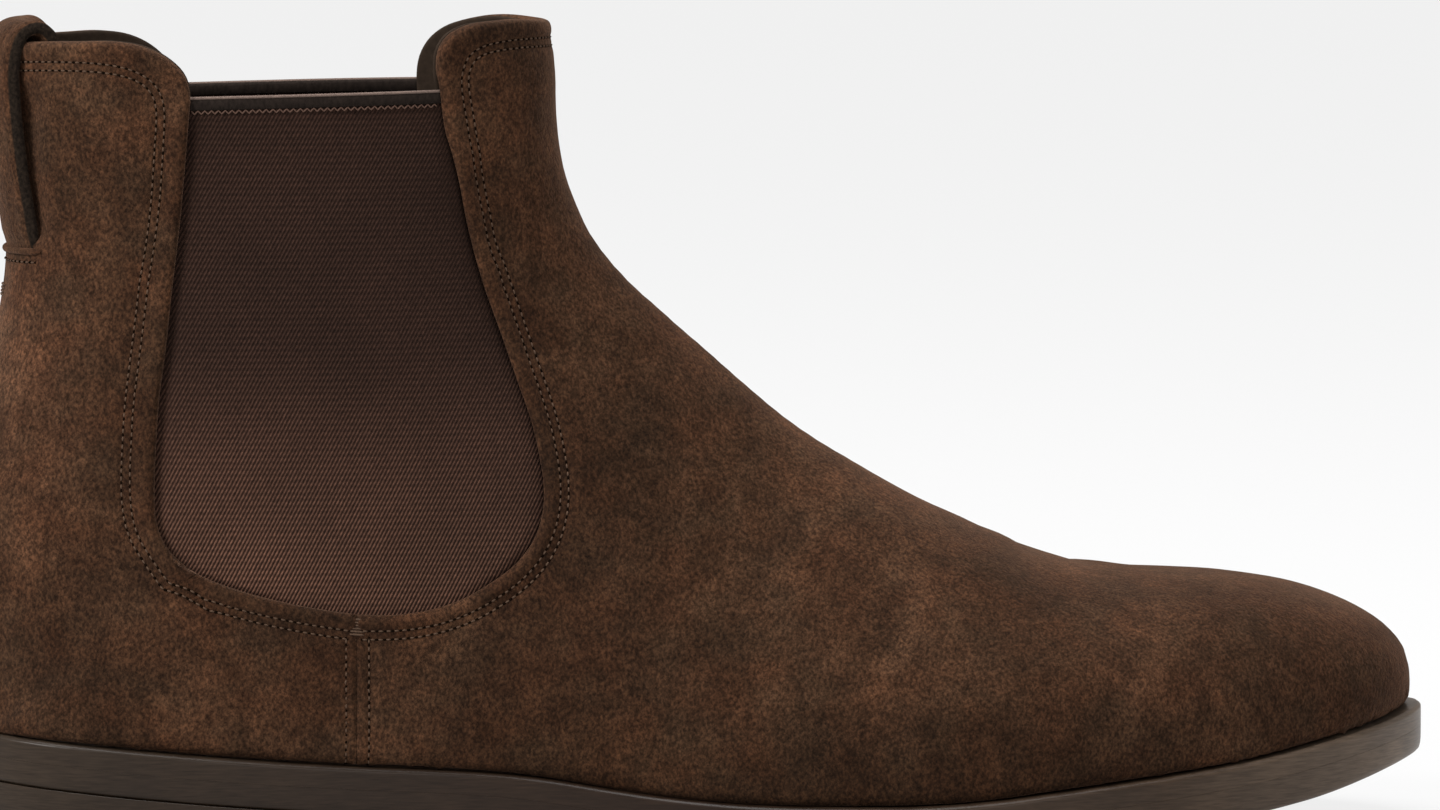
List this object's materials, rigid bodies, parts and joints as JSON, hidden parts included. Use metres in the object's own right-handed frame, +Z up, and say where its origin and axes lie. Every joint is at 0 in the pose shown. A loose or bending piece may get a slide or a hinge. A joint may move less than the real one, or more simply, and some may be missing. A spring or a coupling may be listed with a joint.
{
  "type": "chelsea boot",
  "caption": "Low-heeled chelsea boot, right foot: brushed suede vamp and quarters, elastic side gores, loop pull tab, welt, thin outsole and stacked heel.",
  "frame": {"origin": "centre of the heel's base on the ground", "axes": "+X to the toe, +Z up, +Y to the inner side of the foot"},
  "size_m": [0.3101, 0.1036, 0.17],
  "materials": {
    "suede": "deep brown brushed suede",
    "elastic": "brown woven elastic, diagonal twill",
    "tape": "near black brown woven edge",
    "lining": "plain grey-brown lining leather",
    "stiffener": "pressed fibre",
    "insole": "fibre board",
    "sock": "smooth brown leather",
    "welt": "burnished brown leather",
    "sole": "burnished dark brown edge",
    "rubber": "matte black-brown rubber",
    "cork": "granulated cork",
    "board": "leather board",
    "steel": "plain steel"
  },
  "bodies": {
    "root": {"vamp": "suede", "quarter_outer": "suede", "quarter_inner": "suede", "gore_outer": "elastic", "gore_inner": "elastic", "gore_tape_outer": "tape", "gore_tape_inner": "tape", "pull_tab_tail": "suede", "vamp_lining": "lining", "quarter_lining": "lining", "heel_counter": "stiffener", "toe_puff": "stiffener", "insole": "insole", "sock_liner": "sock", "welt": "welt", "heel_rand": "welt", "cork_filler": "cork", "shank_cover": "board", "shank": "steel", "outsole": "sole", "heel_lift_1": "sole", "heel_lift_2": "sole", "heel_top_piece": "rubber", "heel_nail_1": "steel", "heel_nail_2": "steel", "heel_nail_3": "steel", "heel_nail_4": "steel", "heel_nail_5": "steel"},
    "pull_tab": {"pull_tab": "suede"}
  },
  "joints": [
    {"name": "tab_pull", "type": "hinge", "parent": "root", "child": "pull_tab", "pos_m": [-0.0289, 0, 0.1222], "axis": [0, -1, 0], "range_deg": [0, 8], "stiffness_Nm_per_rad": 0.05}
  ]
}
